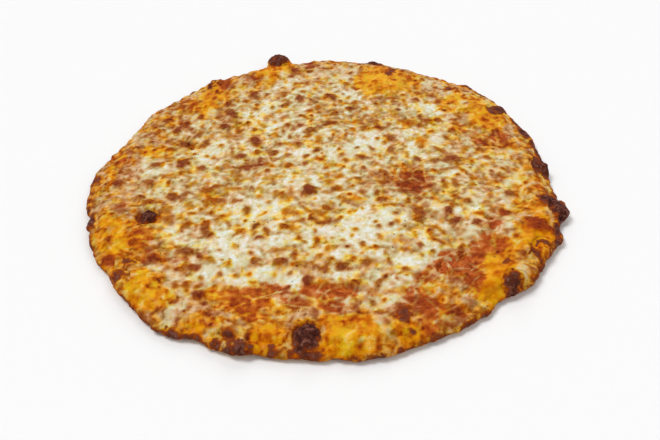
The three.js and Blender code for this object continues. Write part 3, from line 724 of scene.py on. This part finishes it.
cheese = {
    "seed": 5,
    "coarseCells": 75,  # across, before the top is divided
    "topCuts": 3,
    "reach": 0.972,  # of the outline's
    "goneFrom": 0.97,  # of an opening, from where no cheese is left
    "edgeWander": 1.6,
    "lumpHeight": 0.45,
    "grainHeight": 0.3,
    "grain": 0.3,  # height of the finest bumps
    "strands": 900,
    "strandReach": 150,
    "strandLength": (10, 26),
    "strandSteps": 7,
    "strandHalf": (0.6, 1.3),
    "strandBend": 0.22,
    "strandHeight": 0.3,
    "spotReach": 0.94,  # of the outline's
    "smallSpots": (1.4, 3.6),  # half widths between those listed
    "smallShape": (0.6, 1),  # short side, of the long one
    "smallTurns": (50, 130),
    "smallDark": (0.25, 0.8),
    "spotGap": 0.3,  # of the half width, that stays free round a small spot
    "spotTries": 3000,
    "spotGrow": 1.4,  # of the placed ones, whose soft edges make them look smaller
    "spotFade": 1.6,  # power that narrows the spots' soft edges
    "spotTones": (0.36, 1.0),
    "streaks": 90,
    "streakHalf": (2.5, 6),
    "streakThin": (0.6, 1.1),
    "streakDark": (0.2, 0.55),
    "domeHeight": 0.2,  # of a spot's half width
    "rimFrom": (0.66, 0.84),  # of the outline's reach, where the rim's colours begin
    "rimTones": (0.42, 1.11),
    "tones": (0.06, 0.99),
}


# Melted shreds: long low ridges that bend a little
def strandField(rng):
    ridge = np.zeros_like(gridX)
    steps = cheese["strandSteps"]
    for _ in range(cheese["strands"]):
        angle = rng.random() * 2 * math.pi
        x, y = around(angle, cheese["strandReach"] * math.sqrt(rng.random()))
        heading = rng.random() * math.pi
        bend = rng.normal(0, cheese["strandBend"])
        length = rng.uniform(*cheese["strandLength"])
        half = rng.uniform(*cheese["strandHalf"])
        for step in range(steps):
            part, dx, dy = window(x, y, length / steps + 2 * half)
            along, across = turned(dx, dy, math.degrees(heading))
            beyond = np.maximum(np.abs(along) - length / steps / 2, 0)
            away = np.hypot(beyond, across) / half
            end = 1 - 0.35 * abs(step - (steps - 1) / 2) / steps
            raiseTo(ridge, part, end * np.sqrt(np.clip(1 - away ** 2, 0, 1)))
            heading += bend
            x += length / steps * math.cos(heading)
            y += length / steps * math.sin(heading)
    return ridge


def randomPlace(rng, share):
    angle = rng.random() * 2 * math.pi
    return around(angle, share * math.sqrt(rng.random()) * reachAt(angle))


# Browned spots: the ones listed, then smaller ones between them, and thin streaks
def chooseSpots(rng, density):
    grow = cheese["spotGrow"]
    chosen = [(x, y, long * grow, short * grow, *rest) for x, y, long, short, *rest in spots]
    taken = np.array([(x, y, max(long, short)) for x, y, long, short, *_ in spots])
    halves = np.sort(rng.uniform(*cheese["smallSpots"], cheese["spotTries"]))[::-1]
    for half in halves:
        x, y = randomPlace(rng, cheese["spotReach"])
        shape = rng.uniform(*cheese["smallShape"])
        turn = rng.uniform(*cheese["smallTurns"])
        dark = rng.uniform(*cheese["smallDark"])
        if rng.random() > sample(density, x, y):
            continue
        gap = np.hypot(taken[:, 0] - x, taken[:, 1] - y) - taken[:, 2] - half
        if gap.min() < cheese["spotGap"] * half:
            continue
        taken = np.vstack([taken, (x, y, half)])
        chosen.append((x, y, half, half * shape, dark, turn))
    for _ in range(cheese["streaks"]):
        x, y = randomPlace(rng, cheese["spotReach"])
        half = rng.uniform(*cheese["streakHalf"])
        thin = rng.uniform(*cheese["streakThin"])
        turn = rng.random() * 180
        chosen.append((x, y, half, thin, rng.uniform(*cheese["streakDark"]), turn))
    return chosen


# Spreads a field's values evenly from 0 to 1 over the masked places
def evened(field, mask):
    known = np.sort(field[mask])[::40]
    return np.interp(field, known, np.linspace(0, 1, len(known)))


# Where the spots lie, how dark each is, its core, the oily ring round it and its low dome
def spotFields(chosen):
    spot = {name: np.zeros_like(gridX) for name in ("mask", "level", "core", "halo", "dome")}
    for part, away, dark, half in stamps(chosen, warp=0.25):
        away = away + 0.24 * ragged[part]
        shape = smooth(1.45, 0.25, away)
        spot["level"][part] = np.where(shape > spot["mask"][part], dark, spot["level"][part])
        raiseTo(spot["mask"], part, shape)
        raiseTo(spot["core"], part, dark * smooth(0.95, 0.2, away))
        raiseTo(spot["halo"], part, smooth(2.2, 0.9, away))
        raiseTo(spot["dome"], part, cheese["domeHeight"] * half * np.clip(1 - away ** 2, 0, 1))
    return spot


# Areas of unlike browning, and how far each place takes the rim's colours
def zoneFields():
    zone = {name: stamped(patches[name] + onRim(rimPatches.get(name, []))) for name in patches}
    wander = 0.05 * lumpyField(28, seed=40) + 0.03 * lumpyField(8, seed=42)
    rim = smooth(*cheese["rimFrom"], gridShare + wander)
    rim = np.maximum.reduce([rim, zone["gold"], 0.8 * zone["red"]]) - 0.5 * zone["pale"]
    zone["rim"] = np.clip(rim, 0, 1)
    return zone


# How browned each place is, from 0 to 1: soft patches, then the spots over them and the paler shreds
def toastField(zone, spot, strand):
    pale, red, gold, rim = (zone[name] for name in ("pale", "red", "gold", "rim"))
    mask = spot["mask"] ** cheese["spotFade"]
    broad = roughField(11, seed=20)
    small = roughField(4.5, seed=24)
    middle = (0.35 * broad + 0.5 * small) * (1 - 0.3 * pale) + 0.2 * zone["tan"] - 0.5 * pale
    middle = middle + 0.2 * red + 0.08 * smooth(0.4, 0.6, gridShare)
    fine = 0.6 * small + 0.25 * roughField(2, seed=27, octaves=2)
    blotched = np.maximum(gold, red)
    outer = lerp(0.15, 0.4, blotched) * broad + lerp(1, 0.45, blotched) * fine
    outer = outer + 0.3 * red - 0.2 * pale - 0.2 * gold
    outer = lerp(*cheese["rimTones"], evened(outer, (rim > 0.5) & (gridShare < 1)))
    base = lerp(1.1 * evened(middle, rim < 0.5), outer, rim)
    browned = lerp(*cheese["spotTones"], spot["level"])
    toast = lerp(lerp(0.59, 0.65, rim) * base, browned, mask * lerp(1, 0.75, rim))
    toast = toast - 0.2 * strand * (1 - 0.5 * spot["mask"]) * lerp(1, 0.5, rim)
    toast = lerp(*cheese["tones"], evened(toast, gridShare < 0.95) ** 0.9) + 0.02 * spot["core"] ** 2
    return toast - 0.1 * mask * smooth(1.05, 0.45, spot["level"]) * (1 - rim)


# How golden the oil has made each place
def oilField(zone, spot, strand):
    stain = smooth(0.0, 0.6, lumpyField(9, seed=46) + 0.5 * lumpyField(4, seed=47))
    middle = -0.01 + 0.36 * stain - 0.1 * zone["pale"] + 0.1 * spot["halo"] + 0.25 * lumpyField(26, seed=49)
    middle = middle + 0.28 * spot["mask"] * smooth(1.1, 0.5, spot["level"])
    outer = 0.36 + 0.84 * zone["gold"] - 0.4 * zone["pale"]
    outer = outer + 0.45 * lumpyField(8, seed=44) + 0.35 * lumpyField(24, seed=43) - 0.35 * strand
    return np.clip(lerp(middle, outer, zone["rim"]), 0, 1.2)


# From greenish at 0 to pink at 1
def blushField(zone, spot):
    blush = 0.47 + 0.4 * lumpyField(5, seed=81) + 0.3 * lumpyField(14, seed=82) + 0.25 * spot["mask"]
    return np.clip(blush - 0.05 * zone["pale"] + 0.26 * zone["rim"] - 0.1 * zone["gold"], 0, 1)


# Height of the cheese's top, sunk into the dough at its edge and at the blisters, and where it has opened
def cheeseHeights(zone, spot, strand, doughTop):
    lumps = lumpyField(17, seed=50) + 0.6 * lumpyField(8, seed=53)
    relief = cheese["lumpHeight"] * lumps + cheese["strandHeight"] * strand * (1 - 0.6 * zone["gold"])
    relief = relief + spot["dome"] + cheese["grainHeight"] * roughField(3.6, seed=56, octaves=2)
    thickness = (cheeseTop - sauceTop) * (1 - 0.4 * zone["red"])
    inset = (cheese["reach"] - gridShare) * outlineReach.mean() + 1.5 * lumpyField(9, seed=60)
    apart = stamped(openings, warp=0.8, outer=1.35, inner=0.65)
    cover = smooth(0.7, 0.4, apart - 0.6 * strand + 0.3 * lumpyField(5, seed=61))
    spread = np.maximum(sauceTop, doughTop + 0.3)
    sunk = hiddenIn(doughTop)
    top = lerp(sunk, spread + np.maximum(thickness, 0.6) + relief, smooth(-1, 9, inset))
    top = lerp(top, sunk, smooth(0.1, 0.7, blisterOf(gridX, gridY)))
    return lerp(sauceTop - 0.35, top, cover), 1 - cover


def makeCheeseFields(doughTop):
    rng = np.random.default_rng(cheese["seed"])
    zone = zoneFields()
    strand = strandField(rng)
    density = 0.6 + 0.45 * zone["tan"] - 0.3 * zone["pale"] - 0.1 * zone["rim"] - 0.15 * zone["gold"]
    chosen = chooseSpots(rng, np.clip(density + 0.2 * lumpyField(30, seed=41), 0.1, 1))
    spot = spotFields(chosen)
    char = stamped(onRim(scorches), warp=0.35, outer=1.6, inner=0.3, uneven=0.35)
    # The folds' dark lines join the char: painted shade in the creases, drawn in the char colours
    char = np.maximum(char, creaseField)
    red = zone["red"]
    top, opened = cheeseHeights(zone, spot, strand, doughTop)
    print("cheese fields:", len(chosen), "browned spots,", cheese["strands"], "strands")
    return {
        "toast": np.maximum(toastField(zone, spot, strand), 0.92 * smooth(0.08, 0.5, char)),
        "oil": np.maximum(oilField(zone, spot, strand), smooth(0.05, 0.3, char)),
        "blush": blushField(zone, spot),
        "red": np.clip(red * (1 - 0.75 * strand) + 0.25 * lumpyField(7, seed=45) * red, 0, 1),
        "char": char,
        "pale": zone["pale"],
        "top": top,
        "open": opened,
    }


flatSheet = 1  # thickness of a sheet before its heights are set


# Gives a sheet thickness upwards
def thicken(bm, thickness):
    made = bmesh.ops.extrude_face_region(bm, geom=bm.faces[:], use_keep_orig=True)
    raised = [g for g in made["geom"] if isinstance(g, bmesh.types.BMVert)]
    bmesh.ops.translate(bm, verts=raised, vec=(0, 0, thickness))
    bmesh.ops.recalc_face_normals(bm, faces=bm.faces)


# A closed sheet: an even grid drawn to the outline, thickened, then its top divided finely
def makeSheet(name, layer, gone=None):
    bm = bmesh.new()
    bmesh.ops.create_grid(bm, x_segments=layer["coarseCells"], y_segments=layer["coarseCells"], size=1)
    for vert in bm.verts:
        x, y = vert.co.xy
        u = x * math.sqrt(1 - y * y / 2)
        v = y * math.sqrt(1 - x * x / 2)
        angle = math.atan2(v, u)
        out = math.hypot(u, v) * layer["reach"] * reachAt(angle)
        vert.co.xy = [c * mm for c in around(angle, out)]
    if gone is not None:
        least = layer["goneFrom"]
        lost = [f for f in bm.faces if min(sample(gone, *(v.co.xy / mm)) for v in f.verts) > least]
        bmesh.ops.delete(bm, geom=lost, context="FACES")
    thicken(bm, flatSheet * mm)
    upper = [e for e in bm.edges if all(v.co.z > flatSheet / 2 * mm for v in e.verts)]
    bmesh.ops.subdivide_edges(bm, edges=upper, cuts=layer["topCuts"], use_grid_fill=True)
    return objectFrom(bm, name)


# Sets the heights of a sheet's top and underside from two fields
def drapeSheet(sheet, topHeights, lowHeights):
    co = pointsOf(sheet)
    x, y, z = co.T
    top = sample(topHeights, x, y)
    low = np.minimum(sample(lowHeights, x, y), top - 0.1)
    co[:, 2] = np.where(z > flatSheet / 2, top, low)
    placePoints(sheet, co)


# Moves a piece's points, none of them past the frame's box
def placePoints(piece, co):
    low = np.array(cadBox[0]) / mm
    high = np.array(cadBox[1]) / mm
    piece.data.vertices.foreach_set("co", (np.clip(co, low, high) * mm).ravel())
    piece.data.update()


def paint(piece, name, values):
    made = piece.data.attributes.new(name, "FLOAT", "POINT")
    made.data.foreach_set("value", np.asarray(values, dtype=np.float32))


def finishPiece(piece, material, node=None):
    piece.data.materials.clear()
    piece.data.materials.append(material)
    piece.data.shade_smooth()
    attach(piece, "root")
    if node:
        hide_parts(node)
    piece.data.calc_loop_triangles()
    print(piece.name, "made:", len(piece.data.loop_triangles), "triangles")


def makeCheese(field):
    sheet = makeSheet("cheese_layer", cheese, field["open"])
    co = pointsOf(sheet)
    x, y, _ = co.T
    uneven = lumpyField(11, seed=70) + 0.5 * lumpyField(4.5, seed=71)
    wander = cheese["edgeWander"] * sample(uneven, x, y)
    push = smooth(0.8, cheese["reach"], shareOf(x, y)) * (wander - 1) / outlineReach.mean()
    co[:, :2] += (co[:, :2] - doughMiddle) * push[:, None]
    placePoints(sheet, co)
    under = lerp(sauceTop + 0.05, sauceTop - 0.6, smooth(0.02, 0.3, field["open"]))
    drapeSheet(sheet, field["top"], under)
    x, y, _ = pointsOf(sheet).T
    for name in bakedParts:
        paint(sheet, name, sample(field[name], x, y))
    return sheet


# Materials

def tone(red, green, blue):
    def linear(value):
        value /= 255
        return value / 12.92 if value < 0.04045 else ((value + 0.055) / 1.055) ** 2.4
    return (linear(red), linear(green), linear(blue), 1)


def addNode(tree, kind, **settings):
    node = tree.nodes.new("ShaderNode" + kind)
    for name, value in settings.items():
        setattr(node, name, value)
    return node


# Joins a value, colour or socket to an input
def feed(tree, socket, value):
    if isinstance(value, bpy.types.NodeSocket):
        tree.links.new(value, socket)
    else:
        socket.default_value = value


def attribute(tree, name):
    return addNode(tree, "Attribute", attribute_name=name).outputs["Fac"]


def sums(tree, kind, a, b):
    node = addNode(tree, "Math", operation=kind)
    feed(tree, node.inputs[0], a)
    feed(tree, node.inputs[1], b)
    return node.outputs[0]


def times(tree, a, b):
    return sums(tree, "MULTIPLY", a, b)


# An attribute plus shares of noises, which lie round one half
def stirred(tree, name, *shares):
    value = attribute(tree, name)
    for pattern, share in shares:
        value = sums(tree, "ADD", value, times(tree, sums(tree, "SUBTRACT", pattern, 0.5), share))
    return value


def ramp(tree, value, low, high, start=0.0, end=1.0):
    node = addNode(tree, "MapRange", interpolation_type="SMOOTHSTEP")
    feed(tree, node.inputs["Value"], value)
    for name, number in (("From Min", low), ("From Max", high), ("To Min", start), ("To Max", end)):
        node.inputs[name].default_value = number
    return node.outputs["Result"]


def blend(tree, part, a, b, how="MIX"):
    node = addNode(tree, "Mix", data_type="RGBA", blend_type=how)
    feed(tree, node.inputs["Factor"], part)
    feed(tree, node.inputs[6], a)
    feed(tree, node.inputs[7], b)
    return node.outputs[2]


# A colour for a value, from (position, red, green, blue) stops
def toned(tree, value, stops):
    node = addNode(tree, "ValToRGB")
    elements = node.color_ramp.elements
    for position, *colour in stops[1:-1]:
        elements.new(position).color = tone(*colour)
    for element, (position, *colour) in ((elements[0], stops[0]), (elements[-1], stops[-1])):
        element.position = position
        element.color = tone(*colour)
    feed(tree, node.inputs["Fac"], value)
    return node.outputs["Color"]


def coordinates(tree, seed):
    shift = addNode(tree, "Mapping")
    shift.inputs["Location"].default_value = (seed, seed * 0.7, seed * 0.3)
    tree.links.new(addNode(tree, "TexCoord").outputs["Object"], shift.inputs["Vector"])
    return shift.outputs["Vector"]


def speckle(tree, name):
    size, detail, seed = noises[name]
    node = addNode(tree, "TexNoise")
    tree.links.new(coordinates(tree, seed), node.inputs["Vector"])
    node.inputs["Scale"].default_value = 1 / (size * mm)
    node.inputs["Detail"].default_value = detail
    node.inputs["Roughness"].default_value = 0.55
    return node.outputs["Fac"]


# Small round freckles of uneven size
def freckles(tree, gap, seed):
    node = addNode(tree, "TexVoronoi")
    tree.links.new(coordinates(tree, seed), node.inputs["Vector"])
    node.inputs["Scale"].default_value = 1 / (gap * mm)
    size = addNode(tree, "SeparateColor")
    tree.links.new(node.outputs["Color"], size.inputs["Color"])
    near = sums(tree, "SUBTRACT", times(tree, size.outputs[0], 0.42), node.outputs["Distance"])
    return ramp(tree, near, 0.0, 0.16)


def newMaterial(name):
    material = bpy.data.materials.new(name)
    material.use_nodes = True
    tree = material.node_tree
    return material, tree, tree.nodes["Principled BSDF"]


def addBump(tree, shader, height, distance):
    node = addNode(tree, "Bump")
    node.inputs["Distance"].default_value = distance * mm
    tree.links.new(height, node.inputs["Height"])
    tree.links.new(node.outputs["Normal"], shader.inputs["Normal"])


tones = {
    "middle": [
        (0.05, 236, 236, 231), (0.13, 228, 217, 187), (0.25, 218, 199, 158), (0.5, 202, 168, 120),
        (0.75, 180, 131, 80), (0.9, 154, 95, 50), (0.97, 138, 74, 39), (1.0, 125, 59, 32),
    ],
    "yellow": [
        (0.0, 246, 231, 168), (0.1, 241, 217, 136), (0.25, 233, 199, 104), (0.5, 215, 167, 66),
        (0.75, 188, 133, 38), (0.9, 162, 97, 20), (0.97, 141, 73, 18), (1.0, 122, 55, 20),
    ],
    "gold": [
        (0.0, 244, 214, 112), (0.1, 239, 199, 66), (0.25, 232, 178, 22), (0.5, 217, 147, 0),
        (0.75, 194, 110, 0), (0.9, 163, 76, 4), (0.97, 132, 53, 12), (1.0, 104, 42, 18),
    ],
    "red": [
        (0.0, 228, 154, 78), (0.3, 211, 120, 46), (0.65, 189, 88, 28), (0.9, 160, 64, 20),
        (1.0, 120, 45, 20),
    ],
    # The char's tones, picked by a noise: dark lumps, then lighter ones that are a painted highlight of its
    # sheen
    "burntWithSheen": [(0.36, 42, 18, 20), (0.5, 84, 42, 32), (0.66, 128, 80, 66)],
    "scorched": (132, 60, 26),
    "underside": [(206, 158, 98), (174, 112, 58), (112, 64, 34)],
    "sauce": [(146, 54, 10), (184, 82, 18), (204, 114, 40)],
    "herbs": [(58, 48, 24), (88, 72, 34)],
}
tints = {"green": (0.92, 1.08, 1.05, 1), "pink": (1.09, 0.9, 0.88, 1)}  # factors of red, green and blue
noises = {  # size, detail and seed
    "grain": (1.1, 3, 1),
    "dab": (2.6, 2, 2),
    "drift": (5, 2, 3),
    "blush": (4.2, 2, 12),
    "underPatches": (18, 2, 9),
    "underSpots": (5, 3, 8),
    "saucePulp": (1.6, 3, 5),
    "sauceOil": (6, 2, 6),
    "herbTone": (3, 1, 10),
    "herbGrain": (0.6, 1, 11),
}
shine = {"specular": 0.03, "coat": 0.09, "coatRoughness": 0.2, "dryRoughness": 0.6, "wetRoughness": 0.45}


def plainTones(name):
    return [tone(*colour) for colour in tones[name]]


# Baked colour for the cheese and the rim under it, by how far each place has browned
def bakedGroup():
    tree = bpy.data.node_groups.new("bakedTop", "ShaderNodeTree")
    for name, kind in (("Color", "Color"), ("Wet", "Float"), ("Grain", "Float")):
        tree.interface.new_socket(name, in_out="OUTPUT", socket_type="NodeSocket" + kind)
    grain, dab, drift, pink = (speckle(tree, name) for name in ("grain", "dab", "drift", "blush"))
    toast = stirred(tree, "toast", (grain, 0.2), (dab, 0.3))
    toast = sums(tree, "ADD", toast, times(tree, freckles(tree, 4.2, 4), 0.12))
    oil = stirred(tree, "oil", (drift, 1.4), (dab, 0.7))
    colour = toned(tree, toast, tones["middle"])
    colour = blend(tree, ramp(tree, oil, 0.0, 0.5), colour, toned(tree, toast, tones["yellow"]))
    colour = blend(tree, ramp(tree, oil, 0.4, 0.78), colour, toned(tree, toast, tones["gold"]))
    blush = ramp(tree, stirred(tree, "blush", (pink, 1.5)), 0.0, 1.0)
    tint = blend(tree, blush, tints["green"], tints["pink"])
    colour = blend(tree, ramp(tree, toast, 0.0, 0.45, 0.35, 1), colour, tint, "MULTIPLY")
    red = stirred(tree, "red", (dab, 0.9))
    colour = blend(tree, ramp(tree, red, 0.25, 0.8, 0, 0.9), colour, toned(tree, toast, tones["red"]))
    char = stirred(tree, "char", (drift, 0.6), (dab, 1.2))
    colour = blend(tree, ramp(tree, char, 0.15, 0.6), colour, tone(*tones["scorched"]))
    # Char over the rest, its lightest tones a painted highlight of its sheen
    colour = blend(tree, ramp(tree, char, 0.45, 0.9), colour, toned(tree, dab, tones["burntWithSheen"]))
    out = tree.nodes.new("NodeGroupOutput")
    tree.links.new(colour, out.inputs["Color"])
    wet = ramp(tree, sums(tree, "MAXIMUM", oil, red), 0.2, 0.9)
    tree.links.new(times(tree, wet, ramp(tree, toast, 0.9, 0.5)), out.inputs["Wet"])
    tree.links.new(sums(tree, "ADD", grain, times(tree, dab, 1.5)), out.inputs["Grain"])
    return tree


# A dull surface with an oily film where it is wet
def addShine(tree, shader, wet):
    shader.inputs["Specular IOR Level"].default_value = shine["specular"]
    shader.inputs["Coat Roughness"].default_value = shine["coatRoughness"]
    feed(tree, shader.inputs["Coat Weight"], times(tree, wet, shine["coat"]))
    roughness = ramp(tree, wet, 0, 1, shine["dryRoughness"], shine["wetRoughness"])
    feed(tree, shader.inputs["Roughness"], roughness)


def cheeseMaterial(baked):
    material, tree, shader = newMaterial("meltedCheese")
    made = addNode(tree, "Group", node_tree=baked).outputs
    feed(tree, shader.inputs["Base Color"], made["Color"])
    addShine(tree, shader, made["Wet"])
    addBump(tree, shader, made["Grain"], cheese["grain"])
    return material


def crustMaterial(baked):
    material, tree, shader = newMaterial("bakedDough")
    made = addNode(tree, "Group", node_tree=baked).outputs
    light, brown, dark = plainTones("underside")
    below = blend(tree, ramp(tree, speckle(tree, "underPatches"), 0.4, 0.6), light, brown)
    below = blend(tree, ramp(tree, speckle(tree, "underSpots"), 0.55, 0.7), below, dark)
    under = attribute(tree, "under")
    feed(tree, shader.inputs["Base Color"], blend(tree, under, made["Color"], below))
    addShine(tree, shader, times(tree, made["Wet"], sums(tree, "SUBTRACT", 1.0, under)))
    addBump(tree, shader, made["Grain"], crust["grain"])
    return material


# Sauce

sauce = {
    "coarseCells": 60,
    "topCuts": 2,
    "reach": 0.9,  # of the outline's
    "pulp": 0.22,
    "bump": 0.5,
    "roughness": (0.25, 0.45),
    "gloss": 0.08,
}


def makeSauce(doughTop):
    sheet = makeSheet("sauce_layer", sauce)
    pulp = sauce["pulp"] * roughField(6, seed=80)
    low = np.minimum(crustTop + 0.05, sauceTop - 0.3)
    top = np.minimum(sauceTop + pulp, cheeseTop - 0.4)
    sunk = np.minimum(top, hiddenIn(doughTop))
    drapeSheet(sheet, lerp(top, sunk, smooth(0, 0.1, blisterOf(gridX, gridY))), low)
    return sheet


def sauceMaterial():
    material, tree, shader = newMaterial("roseSauce")
    pulp = speckle(tree, "saucePulp")
    oily = ramp(tree, speckle(tree, "sauceOil"), 0.45, 0.65, 0, 0.8)
    deep, fresh, pale = plainTones("sauce")
    colour = blend(tree, oily, blend(tree, ramp(tree, pulp, 0.35, 0.62), deep, fresh), pale)
    feed(tree, shader.inputs["Base Color"], colour)
    feed(tree, shader.inputs["Roughness"], ramp(tree, pulp, 0.3, 0.7, *sauce["roughness"]))
    shader.inputs["Specular IOR Level"].default_value = sauce["gloss"]
    addBump(tree, shader, pulp, sauce["bump"])
    return material


# Dried herbs

herbs = {
    "seed": 9,
    "count": 70,
    "long": (0.8, 2.0),
    "wide": (0.4, 0.9),
    "thick": 0.12,
    "sides": 7,
    "torn": (0.6, 1.1),  # how far out each corner lies
    "bend": 1.2,  # of its thickness
    "reach": 0.88,  # of the outline's
    "roughness": (0.55, 0.75),
}


# One flake as points and faces: a thin bent leaf, one unit in half length
def makeFlake():
    bm = bmesh.new()
    bmesh.ops.create_circle(bm, cap_ends=True, segments=herbs["sides"], radius=1)
    for vert in bm.verts:
        vert.co.z = herbs["bend"] * (1 - abs(vert.co.x))
    thicken(bm, 1)
    bm.verts.index_update()
    points = np.array([v.co for v in bm.verts])
    faces = [[v.index for v in f.verts] for f in bm.faces]
    bm.free()
    return points, faces


def makeHerbs(field):
    flake, flakeFaces = makeFlake()
    rng = np.random.default_rng(herbs["seed"])
    points = []
    faces = []
    for number in range(herbs["count"]):
        x, y = randomPlace(rng, herbs["reach"])
        torn = np.tile(rng.uniform(*herbs["torn"], herbs["sides"]), 2)[:, None]
        size = (rng.uniform(*herbs["long"]) / 2, rng.uniform(*herbs["wide"]) / 2, herbs["thick"])
        shape = flake * np.hstack([torn, torn, np.ones_like(torn)]) * size
        spunX, spunY = turned(shape[:, 0], shape[:, 1], rng.random() * 180)
        ground = sample(field["top"], spunX + x, spunY + y) - herbs["thick"] / 2
        faces += [[i + number * len(flake) for i in face] for face in flakeFaces]
        points.append(np.stack([spunX + x, spunY + y, shape[:, 2] + ground], axis=1))
    mesh = bpy.data.meshes.new("herb_flecks")
    mesh.from_pydata((np.concatenate(points) * mm).tolist(), [], faces)
    return addObject("herb_flecks", mesh)


def herbMaterial():
    material, tree, shader = newMaterial("driedHerbs")
    dark, light = plainTones("herbs")
    colour = blend(tree, ramp(tree, speckle(tree, "herbTone"), 0.4, 0.6), dark, light)
    feed(tree, shader.inputs["Base Color"], colour)
    grain = speckle(tree, "herbGrain")
    feed(tree, shader.inputs["Roughness"], ramp(tree, grain, 0.3, 0.7, *herbs["roughness"]))
    return material


makeCamera()
makeStudio()
dough = makeCrust()
doughField = topField(dough, soften=0.8, step=1.0)
cheeseFields = makeCheeseFields(doughField)
paintCrust(dough, cheeseFields)
baked = bakedGroup()
finishPiece(dough, crustMaterial(baked), "crust")
finishPiece(makeSauce(doughField), sauceMaterial(), "rose_sauce")
finishPiece(makeCheese(cheeseFields), cheeseMaterial(baked), "cheese")
finishPiece(makeHerbs(cheeseFields), herbMaterial())
